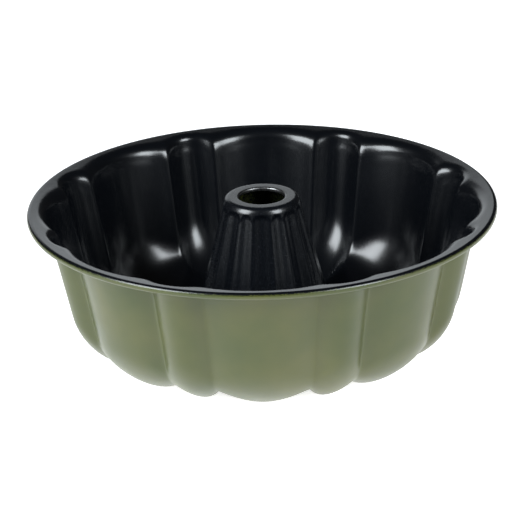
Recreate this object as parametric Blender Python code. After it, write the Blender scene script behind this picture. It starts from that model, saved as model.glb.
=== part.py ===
"""Bundt pan: a fluted ring cake pan pressed from sheet steel.

Three pieces: the fluted shell with its rolled rim, the fluted centre tube that is locked
to the shell by a folded seam under the channel, and the steel wire inside the rolled rim.

Metres, +Z up. The origin is the centre of the plane that the pan rests on, and azimuth 0
is the front (-Y), in the middle of a wide flute. Wide and narrow flutes alternate.
"""

from math import cos, pi, radians, sin, tan

import bmesh
import bpy

# Sheet and clearances.
SHEET = 0.0006
GAP = 0.0003

# Overall sizes.
RIM_RADIUS = 0.125
RIM_HEIGHT = 0.081
TUBE_HEIGHT = 0.0845

# Flutes: each pair is one wide and one narrow flute, with a ridge on each side.
FLUTE_PAIRS = 8
PAIR_ANGLE = 2 * pi / FLUTE_PAIRS
SHELL_WIDE_HALF = radians(15)
TUBE_WIDE_HALF = radians(13)
WIDE_STEPS = 7
NARROW_STEPS = 3

# Shell wall. Each profile is (radius of the wall line at the rim plane, wall taper, bottom corner
# radius, floor height, radius where the level floor starts), all on the outer face.
RIDGE_PROFILE = (0.1118, radians(11.75), 0.017, 0.0097, 0.066)
WIDE_PROFILE = (0.1168, radians(11.75), 0.0389, 0.0, 0.062)
NARROW_PROFILE = (0.1181, radians(12.2), 0.0423, 0.0, 0.062)
SHOULDER_RADIUS = 0.0045
BEAD_RADIUS = 0.0019
BEAD_SWEEP = radians(290)

# Folded seam between shell and tube: a standing fold under a level ring in the floor.
SEAM_LEVEL = 0.004
SEAM_SHELL_RADIUS = 0.0477
SEAM_RING_END = 0.0505
SEAM_LEG_END = 0.0019
SEAM_HOOK_TOP = 0.0035

# Centre tube, on its outer face.
TUBE_TAPER = radians(14.8)
TUBE_GAUGE_RADIUS = 0.0202
TUBE_GAUGE_HEIGHT = 0.0786
TUBE_FLUTE_TOP = 0.0794
TUBE_FLUTE_DEPTH_TOP = 0.0012
TUBE_FLUTE_DEPTH_FOOT = 0.002
TUBE_FOOT_FILLET = 0.007
TUBE_SHOULDER_RADIUS = 0.0026
TUBE_SHOULDER_REACH = 0.0198
TUBE_HOLE_RADIUS = 0.0129
TUBE_LIP_RADIUS = 0.0015
TUBE_LIP_END = 0.0826

# Steps along each rounded stretch of a profile.
CORNER_STEPS = 5
SLOPE_STEPS = 3
SHOULDER_STEPS = 2
BEAD_STEPS = 7
FILLET_STEPS = 2
TUBE_SHOULDER_STEPS = 3
LIP_STEPS = 2
WIRE_SIDES = 6

SMOOTH_ANGLE = radians(32)


def clear_scene():
    for thing in list(bpy.data.objects):
        bpy.data.objects.remove(thing, do_unlink=True)


def make_material(name, colour, roughness, metallic):
    material = bpy.data.materials.new(name)
    material.use_nodes = True
    shader = material.node_tree.nodes["Principled BSDF"]
    shader.inputs["Base Color"].default_value = (*colour, 1.0)
    shader.inputs["Roughness"].default_value = roughness
    shader.inputs["Metallic"].default_value = metallic
    material.diffuse_color = (*colour, 1.0)
    return material


def arc(centre, radius, start, end, steps):
    """Points (r, z) from angle start to angle end about centre, both ends included."""
    points = []
    for step in range(steps + 1):
        angle = start + (end - start) * step / steps
        points.append((centre[0] + radius * cos(angle), centre[1] + radius * sin(angle)))
    return points


def left_normal(start, end):
    """Unit normal to the left of the line from start to end, in the (r, z) plane."""
    run, rise = end[0] - start[0], end[1] - start[1]
    length = (run * run + rise * rise) ** 0.5
    return -rise / length, run / length


def offset_path(path, distance):
    """The path moved to its left by distance, with mitred corners."""
    moved = []
    for index, (r, z) in enumerate(path):
        before = left_normal(*path[max(index, 1) - 1 : max(index, 1) + 1])
        last = min(index, len(path) - 2)
        after = left_normal(path[last], path[last + 1])
        scale = distance / (1 + before[0] * after[0] + before[1] * after[1])
        moved.append((r + scale * (before[0] + after[0]), z + scale * (before[1] + after[1])))
    return moved


def sheet_outline(path, thickness):
    """Closed outline of a strip of sheet: out along the path, back along its other face."""
    return path + offset_path(path, thickness)[::-1]


def mix(first, second, share):
    """Points part of the way from one list of points to the other."""
    return [
        tuple(a + (b - a) * share for a, b in zip(point, other))
        for point, other in zip(first, second)
    ]


def flute_columns(wide_half):
    """(azimuth, is wide, swell) round the pan. Swell is 0 on a ridge and 1 in mid-flute."""
    narrow_half = PAIR_ANGLE / 2 - wide_half
    columns = []
    for pair in range(FLUTE_PAIRS):
        start = pair * PAIR_ANGLE
        for middle, half, steps, wide in (
            (start, wide_half, WIDE_STEPS, True),
            (start + PAIR_ANGLE / 2, narrow_half, NARROW_STEPS, False),
        ):
            fullest = 1 - 1 / steps**2
            for step in range(steps):
                across = 2 * step / steps - 1
                swell = min(1.0, (1 - across * across) / fullest)
                columns.append((middle + across * half, wide, swell))
    return columns


def place(azimuth, point):
    """World position of a profile point (r, z) at an azimuth counted from the front."""
    return point[0] * sin(azimuth), -point[0] * cos(azimuth), point[1]


def ring_object(name, columns, materials, material_of):
    """A closed ring through (azimuth, swell, outline) columns.

    Each face is split from its fuller column's inner station to the other column's outer
    station, on both faces of the sheet, so that the sheet keeps its thickness.
    """
    mesh = bmesh.new()
    rings = [[mesh.verts.new(place(azimuth, p)) for p in outline] for azimuth, _, outline in columns]
    size = len(rings[0])
    for index, ring in enumerate(rings):
        other_index = (index + 1) % len(rings)
        other = rings[other_index]
        fuller = columns[index][1] >= columns[other_index][1]
        for k in range(size):
            n = (k + 1) % size
            outgoing = k < size // 2
            if fuller == outgoing:
                corners = ((ring[k], ring[n], other[n]), (ring[k], other[n], other[k]))
            else:
                corners = ((ring[k], ring[n], other[k]), (ring[n], other[n], other[k]))
            for triangle in corners:
                mesh.faces.new(triangle).material_index = material_of(k, size)
    bmesh.ops.recalc_face_normals(mesh, faces=mesh.faces)
    data = bpy.data.meshes.new(name)
    mesh.to_mesh(data)
    mesh.free()
    for material in materials:
        data.materials.append(material)
    data.shade_smooth()
    data.set_sharp_from_angle(angle=SMOOTH_ANGLE)
    thing = bpy.data.objects.new(name, data)
    bpy.context.scene.collection.objects.link(thing)
    return thing


def shell_path(profile):
    """Outer face of the shell, from the seam leg out along the floor and up to the bead."""
    top_radius, taper, corner, floor, floor_start = profile
    wall_normal = (cos(taper), -sin(taper))
    wall_radius = top_radius - (RIM_HEIGHT - floor) * tan(taper)
    corner_centre = (wall_radius + corner * tan(taper) - corner / cos(taper), floor + corner)

    seam = [
        (SEAM_SHELL_RADIUS, SEAM_LEG_END),
        (SEAM_SHELL_RADIUS, SEAM_LEVEL),
        (SEAM_RING_END, SEAM_LEVEL),
    ]
    slope = []
    for step in range(1, SLOPE_STEPS + 1):
        share = step / SLOPE_STEPS
        eased = share * share * (3 - 2 * share)
        slope.append(
            (
                SEAM_RING_END + (floor_start - SEAM_RING_END) * share,
                SEAM_LEVEL + (floor - SEAM_LEVEL) * eased,
            )
        )
    bottom = arc(corner_centre, corner, -pi / 2, -taper, CORNER_STEPS)

    flange_z = RIM_HEIGHT - SHEET
    fillet = SHOULDER_RADIUS - SHEET
    fillet_z = flange_z - fillet
    touch_z = fillet_z - fillet * wall_normal[1]
    touch_r = top_radius - (RIM_HEIGHT - touch_z) * tan(taper)
    fillet_centre = (touch_r + fillet * wall_normal[0], fillet_z)
    shoulder = arc(fillet_centre, fillet, pi - taper, pi / 2, SHOULDER_STEPS)

    bead_centre = (RIM_RADIUS - BEAD_RADIUS, RIM_HEIGHT - BEAD_RADIUS)
    bead = arc(bead_centre, BEAD_RADIUS - SHEET, pi / 2, pi / 2 - BEAD_SWEEP, BEAD_STEPS)
    return seam + slope + bottom + shoulder + bead


def make_shell(outer_coat, nonstick):
    ridge, wide_crest, narrow_crest = (
        sheet_outline(shell_path(profile), SHEET)
        for profile in (RIDGE_PROFILE, WIDE_PROFILE, NARROW_PROFILE)
    )
    columns = []
    for azimuth, wide, swell in flute_columns(SHELL_WIDE_HALF):
        crest = wide_crest if wide else narrow_crest
        columns.append((azimuth, swell, mix(ridge, crest, swell)))

    def coat(k, size):
        return 0 if k < size // 2 - 1 else 1

    return ring_object("fluted_shell", columns, (outer_coat, nonstick), coat)


def tube_path(flute_share):
    """Outer face of the tube, from the seam hook in along its foot, up and over to the hole.

    flute_share is 0 on a ridge and 1 in the middle of a flute.
    """
    foot_depth = TUBE_FLUTE_DEPTH_FOOT * flute_share
    top_depth = TUBE_FLUTE_DEPTH_TOP * flute_share
    hook_radius = SEAM_SHELL_RADIUS + GAP
    leg_radius = SEAM_SHELL_RADIUS - SHEET - GAP
    foot_z = SEAM_LEVEL + SHEET
    hook_z = SEAM_LEG_END - GAP
    hook = [
        (hook_radius, SEAM_HOOK_TOP),
        (hook_radius, hook_z),
        (leg_radius, hook_z),
        (leg_radius, foot_z),
    ]

    touch_z = foot_z + TUBE_FOOT_FILLET * (1 - sin(TUBE_TAPER))
    touch_r = TUBE_GAUGE_RADIUS + (TUBE_GAUGE_HEIGHT - touch_z) * tan(TUBE_TAPER) - foot_depth
    fillet_centre = (touch_r + TUBE_FOOT_FILLET * cos(TUBE_TAPER), foot_z + TUBE_FOOT_FILLET)
    foot = arc(fillet_centre, TUBE_FOOT_FILLET, -pi / 2, -pi + TUBE_TAPER, FILLET_STEPS)

    flute_top_r = TUBE_GAUGE_RADIUS - (TUBE_FLUTE_TOP - TUBE_GAUGE_HEIGHT) * tan(TUBE_TAPER)
    wall_top = [(flute_top_r - top_depth, TUBE_FLUTE_TOP)]

    shoulder_centre = (
        TUBE_SHOULDER_REACH - TUBE_SHOULDER_RADIUS,
        TUBE_HEIGHT - TUBE_SHOULDER_RADIUS,
    )
    shoulder = arc(shoulder_centre, TUBE_SHOULDER_RADIUS, 0, pi / 2, TUBE_SHOULDER_STEPS)

    lip_centre = (TUBE_HOLE_RADIUS + TUBE_LIP_RADIUS, TUBE_HEIGHT - TUBE_LIP_RADIUS)
    lip = arc(lip_centre, TUBE_LIP_RADIUS, pi / 2, pi, LIP_STEPS)
    lip.append((TUBE_HOLE_RADIUS, TUBE_LIP_END))
    return hook + foot + wall_top + shoulder + lip


def make_tube(nonstick):
    columns = []
    for azimuth, _, swell in flute_columns(TUBE_WIDE_HALF):
        columns.append((azimuth, swell, sheet_outline(tube_path(swell), SHEET)))
    return ring_object("centre_tube", columns, (nonstick,), lambda k, size: 0)


def make_rim_wire(steel):
    wire_radius = BEAD_RADIUS - SHEET - GAP
    centre = (RIM_RADIUS - BEAD_RADIUS, RIM_HEIGHT - BEAD_RADIUS)
    section = arc(centre, wire_radius, 0, 2 * pi, WIRE_SIDES)[:-1]
    columns = [(azimuth, 0.0, section) for azimuth, _, _ in flute_columns(SHELL_WIDE_HALF)]
    return ring_object("rim_wire", columns, (steel,), lambda k, size: 0)


def main():
    clear_scene()
    outer_coat = make_material("sage_outer_coat", (0.42, 0.44, 0.27), 0.38, 0.35)
    nonstick = make_material("black_nonstick", (0.02, 0.021, 0.023), 0.42, 0.2)
    steel = make_material("wire_steel", (0.55, 0.55, 0.56), 0.35, 1.0)
    make_shell(outer_coat, nonstick)
    make_tube(nonstick)
    make_rim_wire(steel)


main()
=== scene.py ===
"""Bundt pan: the fine surfaces, coatings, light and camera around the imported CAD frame.

Metres, +Z up, in the CAD's own frame. Azimuth 0 is the pan's front (-Y), in the middle of a
wide flute, and grows towards +X.
"""
from collections import namedtuple
from math import acos, atan2, cos, hypot, pi, radians, sin, sqrt, tan

import bmesh
import bpy
from mathutils import Matrix, Vector


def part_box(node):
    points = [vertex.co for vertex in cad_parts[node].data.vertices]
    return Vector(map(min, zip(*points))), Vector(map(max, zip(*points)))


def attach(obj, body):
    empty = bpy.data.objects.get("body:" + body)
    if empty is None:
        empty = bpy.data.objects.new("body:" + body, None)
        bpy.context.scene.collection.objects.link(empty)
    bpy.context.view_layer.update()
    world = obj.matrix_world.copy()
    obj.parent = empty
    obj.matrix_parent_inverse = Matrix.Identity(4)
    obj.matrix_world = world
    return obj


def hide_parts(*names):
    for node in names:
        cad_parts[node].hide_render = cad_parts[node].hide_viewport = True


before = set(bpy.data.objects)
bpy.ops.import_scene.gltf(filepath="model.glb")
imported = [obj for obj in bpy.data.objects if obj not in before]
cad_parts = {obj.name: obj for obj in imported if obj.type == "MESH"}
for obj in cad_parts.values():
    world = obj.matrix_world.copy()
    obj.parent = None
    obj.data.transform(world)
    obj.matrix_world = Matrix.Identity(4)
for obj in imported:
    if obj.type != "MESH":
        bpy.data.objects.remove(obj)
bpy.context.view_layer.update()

# Sizes read from the frame.
RIM_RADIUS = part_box("fluted_shell")[1].x
RIM_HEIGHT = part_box("fluted_shell")[1].z
TUBE_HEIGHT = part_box("centre_tube")[1].z

# Sheet, gaps and flutes, as in the CAD.
SHEET = 0.0006
GAP = 0.0003
FLUTE_PAIRS = 8
PAIR_ANGLE = 2 * pi / FLUTE_PAIRS
SHELL_WIDE_HALF = radians(15)
TUBE_WIDE_HALF = radians(13)

# Columns of the mesh on each side of a wide and of a narrow flute's middle.
WIDE_COLUMNS = 14
NARROW_COLUMNS = 9
COLUMN_CROWDING = 1.5
SHARP_EDGE = radians(50)

# A profile of the shell's outer face: radius of the wall's line in the rim plane, wall taper,
# radius of the bottom corner, floor height, radius where the level floor starts, and radius of
# the bend into the flange.
Profile = namedtuple("Profile", "top_radius taper corner floor floor_start shoulder")
RIDGE_PROFILE = Profile(0.1118, radians(11.75), 0.017, 0.0097, 0.066, 0.0095)
WIDE_PROFILE = Profile(0.1168, radians(11.75), 0.0389, 0.0, 0.062, 0.0064)
NARROW_PROFILE = Profile(0.1181, radians(12.2), 0.0423, 0.0, 0.062, 0.0044)
SEAM_RING_BEND = 0.004
FLOOR_BEND = 0.008
SHELL_BEND_STEPS = (5, 4, 6, 26, 12)
SHELL_RUN_PARTS = (2, 2, 3, 3, 34, 4)

# The flange slopes inwards to the wall, and the bead rolls outwards and under from its edge.
FLANGE_TILT = radians(8)
BEAD_RADIUS = 0.0019
BEAD_START = radians(90) + FLANGE_TILT
BEAD_END = radians(-200)
BEAD_STEPS = 30
# The green coat starts about here on the bead, with a speckled edge.
BEAD_COAT_ANGLE = radians(31)
BEAD_COAT_SPREAD = radians(70)

# The draw line below the flange, which fades out further down the wall.
DRAW_LINE_DEPTH = 0.0085
DRAW_LINE_STEP = 0.00025
DRAW_LINE_SPAN = 0.0016
DRAW_LINE_FADE_HEIGHT = 0.03
DRAW_LINE_FADE_SPAN = 0.03

# How far the ridge between two flutes is rounded on each side, lower down and at the rim.
SHELL_RIDGE_ROUNDING = 0.0018
SHELL_RIM_ROUNDING = 0.0035
RIM_ROUNDING_DEPTH = 0.022
SWELL_POWER = 2.0
RIM_SWELL_POWER = 2.4

# The folded seam, where the tube's foot hooks round the shell's inner edge.
SEAM_LEVEL = 0.004
SEAM_SHELL_RADIUS = 0.0477
SEAM_RING_END = 0.0505
SEAM_LEG_END = 0.0019
SEAM_HOOK_TOP = 0.0035
SEAM_BEND = 0.0005
HOOK_BEND = 0.0004

# Tube, on its outer face.
TUBE_TAPER = radians(14.8)
TUBE_FLUTE_DEPTH_TOP = 0.0011
TUBE_FLUTE_DEPTH_FOOT = 0.0018
TUBE_NARROW_SHARE = 0.55
TUBE_RIDGE_RECESS = 0.0003
TUBE_RIDGE_ROUNDING = 0.0022
TUBE_FLUTE_TOP = 0.0813
TUBE_FLUTE_RUN_OUT = 0.0020
TUBE_ARCH_DROP = 0.0030
TUBE_WIDE_ARCH_POWER = 4
TUBE_NARROW_ARCH_POWER = 2.5
TUBE_FOOT_FILLET = 0.0054
TUBE_FOOT_RUN_OUT = 0.006
# The flutes are cut from this far outside the wall's foot to this far from the hole.
TUBE_FOOT_MARGIN = 0.001
TUBE_HOLE_MARGIN = 0.003
# The shoulder is a tight bend from the flat top, then a slack one down to the wall's slope.
TUBE_TOP_BEND = 0.0030
TUBE_COLLAR_BEND = 0.0070
TUBE_BEND_CHANGE = radians(35)
TUBE_COLLAR_REACH = 0.0208
TUBE_COLLAR_STEPS = 8
TUBE_TOP_STEPS = 9
TUBE_HOLE_RADIUS = 0.0123
TUBE_LIP_RADIUS = 0.0010
TUBE_LIP_END = 0.0826
TUBE_LIP_STEPS = 8
TUBE_LIP_PARTS = (5, 2)
TUBE_BEND_STEPS = (3, 3, 5, 8)
TUBE_RUN_PARTS = (2, 1, 2, 2, 70)
# Stations of bare steel at the hole.
TUBE_BARE_STATIONS = 9
# Inside, the green coat has this share near the hole and thickens to a full coat further down.
# The black that shows near the hole is partly overspray and partly painted shade inside the hole.
TUBE_OVERSPRAY_AND_SHADE = 0.36
OVERSPRAY_SHADE_START = 0.3
OVERSPRAY_SHADE_SPAN = 0.5

WIRE_SIDES = 20


# ---------------------------------------------------------------- profiles

def filleted(points, radii, steps, straight_steps):
    """A path (r, z) along the points, each inner corner rounded to its radius.

    Every corner gets steps[i] + 1 points and every straight run is split into
    straight_steps[i] parts, so that two paths of the same kind match point for point.
    """
    corners = []
    for index in range(1, len(points) - 1):
        here = Vector(points[index])
        back = (Vector(points[index - 1]) - here).normalized()
        on = (Vector(points[index + 1]) - here).normalized()
        radius = radii[index - 1]
        half = acos(max(-1.0, min(1.0, back.dot(on)))) / 2
        setback = radius / tan(half)
        centre = here + (back + on).normalized() * (radius / sin(half))
        first, last = here + back * setback, here + on * setback
        start = atan2(*reversed(first - centre))
        turn = atan2(*reversed(last - centre)) - start
        turn = (turn + pi) % (2 * pi) - pi
        corners.append(bend(centre, radius, start, start + turn, steps[index - 1]))
    path = [tuple(points[0])]
    for index, corner in enumerate(corners + [[tuple(points[-1])]]):
        start, end, parts = path[-1], corner[0], straight_steps[index]
        for k in range(1, parts):
            path.append(tuple(a + (b - a) * k / parts for a, b in zip(start, end)))
        path.extend(corner)
    return path


def bend(centre, radius, start, end, count):
    """(r, z) points of an arc at equal angles from start to end."""
    angles = (start + (end - start) * k / count for k in range(count + 1))
    return [(centre[0] + radius * cos(angle), centre[1] + radius * sin(angle)) for angle in angles]


def left_normal(start, end):
    run, rise = end[0] - start[0], end[1] - start[1]
    length = hypot(run, rise)
    return -rise / length, run / length


def offset_path(path, distance):
    """The path moved to its left by distance, with mitred corners."""
    moved = []
    for index, (r, z) in enumerate(path):
        before_start = max(index, 1) - 1
        before = left_normal(path[before_start], path[before_start + 1])
        after_start = min(index, len(path) - 2)
        after = left_normal(path[after_start], path[after_start + 1])
        scale = distance / (1 + before[0] * after[0] + before[1] * after[1])
        moved.append((r + scale * (before[0] + after[0]), z + scale * (before[1] + after[1])))
    return moved


def smooth(share):
    share = max(0.0, min(1.0, share))
    return share * share * (3 - 2 * share)


def swell_at(share, blunt, power):
    """Depth of a flute, 0 on the ridge (share 0) to 1 in mid-flute (share 1)."""
    rounded = (sqrt(share**2 + blunt**2) - blunt) / (sqrt(1 + blunt**2) - blunt)
    return 1 - (1 - rounded) ** power


def flute_columns(wide_half):
    """(azimuth, is wide, share) round the pan, crowded towards the ridges.

    share runs from 0 on a ridge to 1 in mid-flute.
    """
    narrow_half = PAIR_ANGLE / 2 - wide_half
    columns = []
    for pair in range(FLUTE_PAIRS):
        start = pair * PAIR_ANGLE
        for middle, half, count, wide in (
            (start, wide_half, WIDE_COLUMNS, True),
            (start + PAIR_ANGLE / 2, narrow_half, NARROW_COLUMNS, False),
        ):
            for k in range(-count, count):
                side = -1 if k < 0 else 1
                share = (1 - abs(k) / count) ** COLUMN_CROWDING
                columns.append((middle + side * (1 - share) * half, wide, share))
    return columns


def place(azimuth, point):
    return point[0] * sin(azimuth), -point[0] * cos(azimuth), point[1]


def join_rings(mesh, rings, material_at):
    """Faces between neighbouring rings, and from the last ring back to the first."""
    for index, ring in enumerate(rings):
        other = rings[(index + 1) % len(rings)]
        for k in range(len(ring)):
            n = (k + 1) % len(ring)
            face = mesh.faces.new((ring[k], ring[n], other[n], other[k]))
            face.material_index = material_at(k)
    bmesh.ops.recalc_face_normals(mesh, faces=mesh.faces)


def add_object(name, mesh):
    """The finished mesh as an object in the scene."""
    data = bpy.data.meshes.new(name)
    mesh.to_mesh(data)
    mesh.free()
    added = bpy.data.objects.new(name, data)
    bpy.context.scene.collection.objects.link(added)
    return added


def sheet_ring(name, columns, face_kind):
    """A closed ring of sheet through (azimuth, path) columns, SHEET thick to the path's left.

    face_kind(k, last) gives the (material index, green coat share) of the faces and points
    from station k of the outline, where stations up to last are on the path itself.
    """
    mesh = bmesh.new()
    coat = mesh.verts.layers.float.new("green_coat")
    last = len(columns[0][1]) - 1
    rings = []
    for azimuth, path in columns:
        ring = []
        for k, point in enumerate(path + offset_path(path, SHEET)[::-1]):
            vertex = mesh.verts.new(place(azimuth, point))
            vertex[coat] = face_kind(k, last)[1]
            ring.append(vertex)
        rings.append(ring)
    join_rings(mesh, rings, lambda k: face_kind(k, last)[0])
    piece = add_object(name, mesh)
    piece.data.shade_smooth()
    piece.data.set_sharp_from_angle(angle=SHARP_EDGE)
    return piece


# ---------------------------------------------------------------- shell

def shell_path(profile):
    """Outer face of the shell, from the seam leg out along the floor and up round the bead."""
    bead_centre = (RIM_RADIUS - BEAD_RADIUS, RIM_HEIGHT - BEAD_RADIUS)
    bead = bend(bead_centre, BEAD_RADIUS - SHEET, BEAD_START, BEAD_END, BEAD_STEPS)
    flange = bead[0][1] - (bead[0][0] - profile.top_radius) * tan(FLANGE_TILT)
    wall_foot = profile.top_radius - (RIM_HEIGHT - profile.floor) * tan(profile.taper)
    wall_head = profile.top_radius - (RIM_HEIGHT - flange) * tan(profile.taper)
    path = filleted(
        [
            (SEAM_SHELL_RADIUS, SEAM_LEG_END),
            (SEAM_SHELL_RADIUS, SEAM_LEVEL),
            (SEAM_RING_END, SEAM_LEVEL),
            (profile.floor_start, profile.floor),
            (wall_foot, profile.floor),
            (wall_head, flange),
            bead[0],
        ],
        [SEAM_BEND, SEAM_RING_BEND, FLOOR_BEND, profile.corner, profile.shoulder - SHEET],
        SHELL_BEND_STEPS,
        SHELL_RUN_PARTS,
    )
    step_inwards(path)
    return path + bead[1:]


def step_inwards(path):
    """The faint draw line round the wall: below it the wall stands a little further in."""
    middle = RIM_HEIGHT - DRAW_LINE_DEPTH
    for k, (r, z) in enumerate(path):
        if z < middle + DRAW_LINE_SPAN and r > SEAM_RING_END:
            share = smooth((middle + DRAW_LINE_SPAN - z) / (2 * DRAW_LINE_SPAN))
            fade = smooth((z - DRAW_LINE_FADE_HEIGHT) / DRAW_LINE_FADE_SPAN)
            path[k] = (r - DRAW_LINE_STEP * share * fade, z)


def make_shell():
    ridge, wide_crest, narrow_crest = map(
        shell_path, (RIDGE_PROFILE, WIDE_PROFILE, NARROW_PROFILE)
    )
    columns = []
    for azimuth, wide, share in flute_columns(SHELL_WIDE_HALF):
        crest = wide_crest if wide else narrow_crest
        half = (SHELL_WIDE_HALF if wide else PAIR_ANGLE / 2 - SHELL_WIDE_HALF) * RIM_RADIUS
        sharp = swell_at(share, SHELL_RIDGE_ROUNDING / half, SWELL_POWER)
        soft = swell_at(share, SHELL_RIM_ROUNDING / half, RIM_SWELL_POWER)
        path = []
        for a, b in zip(ridge, crest):
            high = smooth(1 - (RIM_HEIGHT - a[1]) / RIM_ROUNDING_DEPTH)
            swell = sharp + (soft - sharp) * high
            path.append((a[0] + (b[0] - a[0]) * swell, a[1] + (b[1] - a[1]) * swell))
        columns.append((azimuth, path))

    def face_kind(k, last):
        """Green outside, black inside. The green also covers the bead's outer, lower part."""
        if k <= last:
            return 0, 1.0
        along = (k - last - 1) / BEAD_STEPS
        if along > 1:
            return 0, 0.0
        angle = BEAD_END + (BEAD_START - BEAD_END) * along
        return 0, smooth(0.5 - (angle - BEAD_COAT_ANGLE) / BEAD_COAT_SPREAD)

    shell = sheet_ring("pan_shell", columns, face_kind)
    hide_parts("fluted_shell")
    return shell


# ---------------------------------------------------------------- centre tube

def tube_shoulder():
    """The slack bend at the top of the wall and the tight one on to the flat top."""
    change = TUBE_BEND_CHANGE
    slack_centre = (
        TUBE_COLLAR_REACH - TUBE_COLLAR_BEND * cos(TUBE_TAPER),
        TUBE_HEIGHT - TUBE_TOP_BEND + (TUBE_TOP_BEND - TUBE_COLLAR_BEND) * sin(change),
    )
    tight_centre = (
        slack_centre[0] + (TUBE_COLLAR_BEND - TUBE_TOP_BEND) * cos(change),
        TUBE_HEIGHT - TUBE_TOP_BEND,
    )
    slack = bend(slack_centre, TUBE_COLLAR_BEND, TUBE_TAPER, change, TUBE_COLLAR_STEPS)
    return slack[:-1] + bend(tight_centre, TUBE_TOP_BEND, change, pi / 2, TUBE_TOP_STEPS)


def tube_column(share, wide):
    """Outer face of the tube in one column, from the seam hook in, up and over to the hole."""
    hook = SEAM_SHELL_RADIUS + GAP
    leg = SEAM_SHELL_RADIUS - SHEET - GAP
    foot = SEAM_LEVEL + SHEET
    hook_bottom = SEAM_LEG_END - GAP
    shoulder = tube_shoulder()
    wall_foot = shoulder[0][0] + (shoulder[0][1] - foot) * tan(TUBE_TAPER)
    wall = filleted(
        [
            (hook, SEAM_HOOK_TOP),
            (hook, hook_bottom),
            (leg, hook_bottom),
            (leg, foot),
            (wall_foot, foot),
            shoulder[0],
        ],
        [HOOK_BEND, HOOK_BEND, SEAM_BEND + SHEET, TUBE_FOOT_FILLET],
        TUBE_BEND_STEPS,
        TUBE_RUN_PARTS,
    )
    lip = filleted(
        [shoulder[-1], (TUBE_HOLE_RADIUS, TUBE_HEIGHT), (TUBE_HOLE_RADIUS, TUBE_LIP_END)],
        [TUBE_LIP_RADIUS],
        [TUBE_LIP_STEPS],
        TUBE_LIP_PARTS,
    )
    half = TUBE_WIDE_HALF if wide else PAIR_ANGLE / 2 - TUBE_WIDE_HALF
    swell = swell_at(share, TUBE_RIDGE_ROUNDING / (half * TUBE_COLLAR_REACH), SWELL_POWER)
    arch_power = TUBE_WIDE_ARCH_POWER if wide else TUBE_NARROW_ARCH_POWER
    flute_top = TUBE_FLUTE_TOP - TUBE_ARCH_DROP * (1 - share) ** arch_power
    flatter = 1.0 if wide else TUBE_NARROW_SHARE
    carved = []
    for r, z in wall + shoulder[1:] + lip[1:]:
        depth = 0.0
        if wall_foot + TUBE_FOOT_MARGIN > r > TUBE_HOLE_RADIUS + TUBE_HOLE_MARGIN:
            down = (TUBE_HEIGHT - z) / TUBE_HEIGHT
            full = TUBE_FLUTE_DEPTH_TOP + (TUBE_FLUTE_DEPTH_FOOT - TUBE_FLUTE_DEPTH_TOP) * down
            top = smooth((flute_top - z) / TUBE_FLUTE_RUN_OUT)
            bottom = smooth((z - foot) / TUBE_FOOT_RUN_OUT)
            depth = (TUBE_RIDGE_RECESS + full * flatter * swell) * top * bottom
        carved.append((r - depth, z))
    return carved


def make_tube():
    columns = [
        (azimuth, tube_column(share, wide))
        for azimuth, wide, share in flute_columns(TUBE_WIDE_HALF)
    ]

    def face_kind(k, last):
        """Black outside, a bare pierced edge at the hole, and green inside, thinner near it:
        partly overspray, partly painted shade.
        """
        if last - TUBE_BARE_STATIONS <= k <= last:
            return 1, 0.0
        if k < last:
            return 0, 0.0
        inside = (k - last - 1) / last
        # Nearer the hole more black shows: partly overspray, partly painted shade inside the hole.
        thicker_less_shade = smooth((inside - OVERSPRAY_SHADE_START) / OVERSPRAY_SHADE_SPAN)
        return 0, TUBE_OVERSPRAY_AND_SHADE + (1 - TUBE_OVERSPRAY_AND_SHADE) * thicker_less_shade

    tube = sheet_ring("pan_tube", columns, face_kind)
    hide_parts("centre_tube")
    return tube


# ---------------------------------------------------------------- rim wire

def make_wire():
    """The steel wire inside the rolled rim."""
    radius = BEAD_RADIUS - SHEET - GAP
    centre = (RIM_RADIUS - BEAD_RADIUS, RIM_HEIGHT - BEAD_RADIUS)
    section = bend(centre, radius, 0.0, 2 * pi, WIRE_SIDES)[:-1]
    mesh = bmesh.new()
    rings = [
        [mesh.verts.new(place(azimuth, point)) for point in section]
        for azimuth, *_ in flute_columns(SHELL_WIDE_HALF)
    ]
    join_rings(mesh, rings, lambda k: 0)
    wire = add_object("rim_wire_steel", mesh)
    wire.data.shade_smooth()
    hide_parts("rim_wire")
    return wire


# ---------------------------------------------------------------- materials

BLACK = (0.0015, 0.0020, 0.0030)
BLACK_GREY = (0.0025, 0.0033, 0.0050)
GREEN = (0.0330, 0.0450, 0.0036)
GREEN_PALE = (0.060, 0.0635, 0.0105)
TUBE_FLECK = (0.0050, 0.0063, 0.0090)
# Dark and light grey of bare steel.
STEEL_EDGE = (0.12, 0.22)
STEEL_WIRE = (0.42, 0.62)

# Most values of a noise lie in this band. The flecks show in its upper part.
NOISE_BAND = (0.3, 0.7)
FLECK_BAND = (0.42, 0.72)

# Noise scales, in cycles per metre.
CLOUD_SCALE = 28
PATCH_SCALE = 60
WAVE_SCALE = 120
WIRE_STREAK_SCALE = 400
EDGE_STREAK_SCALE = 900
GRAIN_SCALE = 1400
FLECK_SCALE = 1500
SPECKLE_SCALE = 2600

# Speckle moves the edge of the green coat by up to this share, over this soft band.
COAT_SPECKLE = 0.35
COAT_EDGE = (0.44, 0.56)
BLACK_ROUGHNESS = 0.19
BLACK_ROUGHNESS_SPREAD = 0.03
GREEN_ROUGHNESS = (0.31, 0.38)
STEEL_ROUGHNESS = (0.25, 0.42)
GRAIN_STRENGTH = 0.5
WAVE_STRENGTH = 0.15
WAVE_HEIGHT = 0.0003
STREAK_STRENGTH = 0.3
STREAK_HEIGHT = 0.00005
LACQUER_IOR = 1.52


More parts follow.
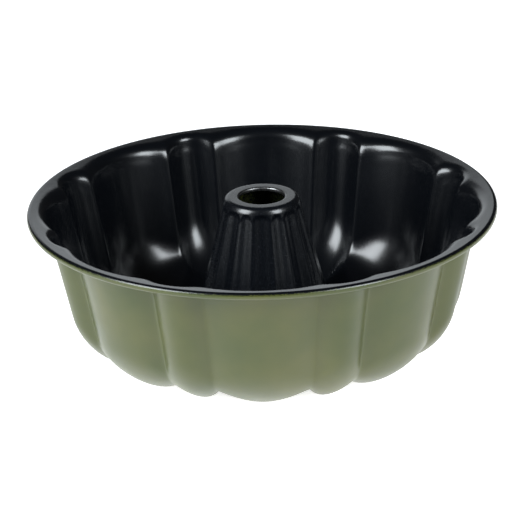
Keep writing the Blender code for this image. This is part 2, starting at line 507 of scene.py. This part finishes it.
class Nodes:
    """Short helpers to build a material's node tree."""

    def __init__(self, name):
        self.material = bpy.data.materials.new(name)
        self.material.use_nodes = True
        self.tree = self.material.node_tree
        self.shader = self.tree.nodes["Principled BSDF"]

    def add(self, kind, **settings):
        node = self.tree.nodes.new(kind)
        for key, value in settings.items():
            setattr(node, key, value)
        return node

    def link(self, source, target):
        self.tree.links.new(source, target)

    def feed(self, socket, value):
        """Put a number or a colour on the socket, or link another node's output to it."""
        if isinstance(value, (int, float)):
            socket.default_value = value
        elif isinstance(value, tuple):
            socket.default_value = (*value, 1.0)
        else:
            self.link(value, socket)

    def noise(self, scale, detail=2.0, roughness=0.5):
        node = self.add("ShaderNodeTexNoise")
        node.inputs["Scale"].default_value = scale
        node.inputs["Detail"].default_value = detail
        node.inputs["Roughness"].default_value = roughness
        coordinates = self.add("ShaderNodeTexCoord")
        self.link(coordinates.outputs["Object"], node.inputs["Vector"])
        return node.outputs["Fac"]

    def maths(self, operation, first, second):
        node = self.add("ShaderNodeMath", operation=operation)
        self.feed(node.inputs[0], first)
        self.feed(node.inputs[1], second)
        return node.outputs[0]

    def spread(self, value, low, high, to_low, to_high):
        """The value's band from low to high stretched to a new one, and clamped to it."""
        node = self.add("ShaderNodeMapRange")
        self.link(value, node.inputs["Value"])
        node.inputs["From Min"].default_value = low
        node.inputs["From Max"].default_value = high
        node.inputs["To Min"].default_value = to_low
        node.inputs["To Max"].default_value = to_high
        return node.outputs["Result"]

    def mix(self, factor, first, second):
        """A mix of two colours."""
        node = self.add("ShaderNodeMix", data_type="RGBA")
        self.feed(node.inputs[0], factor)
        self.feed(node.inputs[6], first)
        self.feed(node.inputs[7], second)
        return node.outputs[2]

    def mix_numbers(self, factor, first, second):
        node = self.add("ShaderNodeMix", data_type="FLOAT")
        self.feed(node.inputs[0], factor)
        self.feed(node.inputs[2], first)
        self.feed(node.inputs[3], second)
        return node.outputs[0]

    def bump(self, height, strength, distance, after=None):
        node = self.add("ShaderNodeBump")
        node.inputs["Strength"].default_value = strength
        node.inputs["Distance"].default_value = distance
        self.link(height, node.inputs["Height"])
        if after is not None:
            self.link(after, node.inputs["Normal"])
        return node.outputs["Normal"]


def coated_steel(name, grain, peel, fleck_colour):
    """Steel with green lacquer where the green_coat attribute is 1 and black non-stick elsewhere.

    grain is the roughness that the black coat's flecks add, and peel the height of its grain.
    """
    m = Nodes(name)
    attribute = m.add("ShaderNodeAttribute", attribute_name="green_coat")
    speckle = m.spread(m.noise(SPECKLE_SCALE, 1.0), *NOISE_BAND, -COAT_SPECKLE, COAT_SPECKLE)
    edge = m.maths("ADD", attribute.outputs["Fac"], speckle)
    green = m.spread(edge, *COAT_EDGE, 0.0, 1.0)

    cloud = m.noise(CLOUD_SCALE, 3.0)
    fleck = m.noise(FLECK_SCALE, 2.0, 0.7)
    black_shade = m.mix(m.spread(fleck, *FLECK_BAND, 0.0, 1.0), BLACK, fleck_colour)
    green_shade = m.mix(m.spread(cloud, *NOISE_BAND, 0.0, 1.0), GREEN, GREEN_PALE)
    m.link(m.mix(green, black_shade, green_shade), m.shader.inputs["Base Color"])

    smoothest, roughest = BLACK_ROUGHNESS, BLACK_ROUGHNESS + BLACK_ROUGHNESS_SPREAD
    black_rough = m.maths(
        "ADD",
        m.spread(cloud, *NOISE_BAND, smoothest, roughest),
        m.spread(fleck, *NOISE_BAND, 0.0, grain),
    )
    green_rough = m.spread(m.noise(PATCH_SCALE, 3.0), *NOISE_BAND, *GREEN_ROUGHNESS)
    m.link(m.mix_numbers(green, black_rough, green_rough), m.shader.inputs["Roughness"])

    fine = m.bump(m.noise(GRAIN_SCALE, 2.0, 0.6), GRAIN_STRENGTH, peel)
    wavy = m.bump(m.noise(WAVE_SCALE, 2.0), WAVE_STRENGTH, WAVE_HEIGHT, fine)
    m.link(wavy, m.shader.inputs["Normal"])
    m.shader.inputs["Specular IOR Level"].default_value = 0.5
    m.shader.inputs["IOR"].default_value = LACQUER_IOR
    return m.material


def bare_steel(name, scale, greys):
    """Uncoated steel with fine streaks between a dark and a light grey."""
    m = Nodes(name)
    streak = m.noise(scale, 3.0, 0.6)
    dark, light = ((grey,) * 3 for grey in greys)
    shade = m.mix(m.spread(streak, *NOISE_BAND, 0.0, 1.0), dark, light)
    m.link(shade, m.shader.inputs["Base Color"])
    m.link(m.spread(streak, *NOISE_BAND, *STEEL_ROUGHNESS), m.shader.inputs["Roughness"])
    m.shader.inputs["Metallic"].default_value = 1.0
    m.link(m.bump(streak, STREAK_STRENGTH, STREAK_HEIGHT), m.shader.inputs["Normal"])
    return m.material


# ---------------------------------------------------------------- stage, light and camera

WHITE = (1.0, 1.0, 1.0, 1.0)
FLOOR_COLOUR = (0.86, 0.86, 0.86, 1.0)
FLOOR_ROUGHNESS = 0.9
FLOOR_RADIUS = 4.0
FLOOR_SIDES = 96
# The floor glows like a light table. Its emission is cut out under the middle of the pan as
# painted shade, fully up to the first distance below and fading out by the second. A painted ring
# of extra light lies round the pan, and the wide emission is weaker near the pan than far out.
# Each of the two glows below is its start and end distance and its strength at both.
PAINTED_SHADE_FULL_TO = 0.045
PAINTED_SHADE_GONE_AT = 0.075
PAINTED_LIGHT_RING = (0.110, 0.20, 0.25, 0.0)
GLOW_WIDE = (0.45, 0.95, 0.74, 0.95)

# The strength of the world as a light, and as it looks behind the pan.
WORLD_LIGHT = 0.03
WORLD_SEEN = 0.95

# Name, azimuth, elevation, distance, width, height and power.
SOFTBOXES = (
    ("softbox_left", -57, 33, 1.6, 0.85, 0.95, 37.5),
    ("softbox_right", 48, 31, 1.6, 0.64, 0.75, 22.5),
    ("backdrop", 193, 15, 2.2, 1.4, 1.0, 4.6),
)
LIGHT_COLOUR = (0.90, 0.96, 1.0)

CAMERA_AZIMUTH = 1.05
CAMERA_ELEVATION = 21.12
CAMERA_DISTANCE = 1.3714
CAMERA_LENS = 176.34
CAMERA_SENSOR = 36
CAMERA_CLIP = (0.05, 50)
# The camera looks this far to the right of the rim's centre, and this far above it.
CAMERA_AIM = (-0.00026, -0.0353)
CAMERA_ROLL = radians(-1.565)


def make_floor():
    mesh = bmesh.new()
    bmesh.ops.create_circle(mesh, cap_ends=True, segments=FLOOR_SIDES, radius=FLOOR_RADIUS)
    floor = add_object("floor", mesh)
    m = Nodes("pale_floor_painted_light")
    m.shader.inputs["Base Color"].default_value = FLOOR_COLOUR
    m.shader.inputs["Roughness"].default_value = FLOOR_ROUGHNESS
    coordinates = m.add("ShaderNodeTexCoord")
    reach = m.add("ShaderNodeVectorMath", operation="LENGTH")
    m.link(coordinates.outputs["Object"], reach.inputs[0])
    distance = reach.outputs["Value"]
    # The floor's emission carries a painted ring of light round the pan and is cut out under the
    # pan as painted shade.
    emission_with_painted_ring = m.maths("ADD", m.spread(distance, *PAINTED_LIGHT_RING), m.spread(distance, *GLOW_WIDE))
    outside_painted_shade = m.spread(distance, PAINTED_SHADE_FULL_TO, PAINTED_SHADE_GONE_AT, 0.0, 1.0)
    m.link(m.maths("MULTIPLY", emission_with_painted_ring, outside_painted_shade), m.shader.inputs["Emission Strength"])
    m.shader.inputs["Emission Color"].default_value = WHITE
    floor.data.materials.append(m.material)


def make_world():
    """A dim studio that looks pale behind the pan."""
    world = bpy.data.worlds.new("studio")
    bpy.context.scene.world = world
    world.use_nodes = True
    tree = world.node_tree
    dim = tree.nodes["Background"]
    dim.inputs["Color"].default_value = WHITE
    dim.inputs["Strength"].default_value = WORLD_LIGHT
    pale = tree.nodes.new("ShaderNodeBackground")
    pale.inputs["Color"].default_value = WHITE
    pale.inputs["Strength"].default_value = WORLD_SEEN
    rays = tree.nodes.new("ShaderNodeLightPath")
    seen = tree.nodes.new("ShaderNodeMixShader")
    tree.links.new(rays.outputs["Is Camera Ray"], seen.inputs[0])
    tree.links.new(dim.outputs[0], seen.inputs[1])
    tree.links.new(pale.outputs[0], seen.inputs[2])
    tree.links.new(seen.outputs[0], tree.nodes["World Output"].inputs["Surface"])


def direction(azimuth, elevation):
    """Unit vector from the pan towards an azimuth (0 is the camera's side) and elevation."""
    a, e = radians(azimuth), radians(elevation)
    return Vector((sin(a) * cos(e), -cos(a) * cos(e), sin(e)))


def make_softbox(name, azimuth, elevation, distance, width, height, power):
    lamp = bpy.data.lights.new(name, "AREA")
    lamp.shape = "RECTANGLE"
    lamp.size, lamp.size_y = width, height
    lamp.energy = power
    lamp.color = LIGHT_COLOUR
    box = bpy.data.objects.new(name, lamp)
    bpy.context.scene.collection.objects.link(box)
    towards = direction(azimuth, elevation)
    box.location = towards * distance + Vector((0, 0, RIM_HEIGHT / 2))
    box.rotation_euler = towards.to_track_quat("Z", "Y").to_euler()


def make_camera():
    data = bpy.data.cameras.new("camera")
    data.lens = CAMERA_LENS
    data.sensor_width = CAMERA_SENSOR
    data.clip_start, data.clip_end = CAMERA_CLIP
    camera = bpy.data.objects.new("camera", data)
    bpy.context.scene.collection.objects.link(camera)
    rim_centre = Vector((0, 0, RIM_HEIGHT))
    side = Vector((cos(radians(CAMERA_AZIMUTH)), sin(radians(CAMERA_AZIMUTH)), 0))
    eye = rim_centre + direction(CAMERA_AZIMUTH, CAMERA_ELEVATION) * CAMERA_DISTANCE
    aim = rim_centre + side * CAMERA_AIM[0] + Vector((0, 0, CAMERA_AIM[1]))
    turn = (eye - aim).to_track_quat("Z", "Y").to_matrix() @ Matrix.Rotation(CAMERA_ROLL, 3, "Z")
    camera.matrix_world = Matrix.Translation(eye) @ turn.to_4x4()
    bpy.context.scene.camera = camera


def make_stage():
    bpy.context.scene.view_settings.view_transform = "Standard"
    make_world()
    make_floor()
    for softbox in SOFTBOXES:
        make_softbox(*softbox)
    make_camera()


def main():
    make_stage()
    shell, tube, wire = make_shell(), make_tube(), make_wire()
    for piece, material in (
        (shell, coated_steel("shell_coating", 0.03, 0.00002, BLACK_GREY)),
        (tube, coated_steel("tube_coating", 0.08, 0.000055, TUBE_FLECK)),
        (tube, bare_steel("pierced_edge", EDGE_STREAK_SCALE, STEEL_EDGE)),
        (wire, bare_steel("drawn_wire", WIRE_STREAK_SCALE, STEEL_WIRE)),
    ):
        piece.data.materials.append(material)
    for piece in (shell, tube, wire):
        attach(piece, "root")


main()
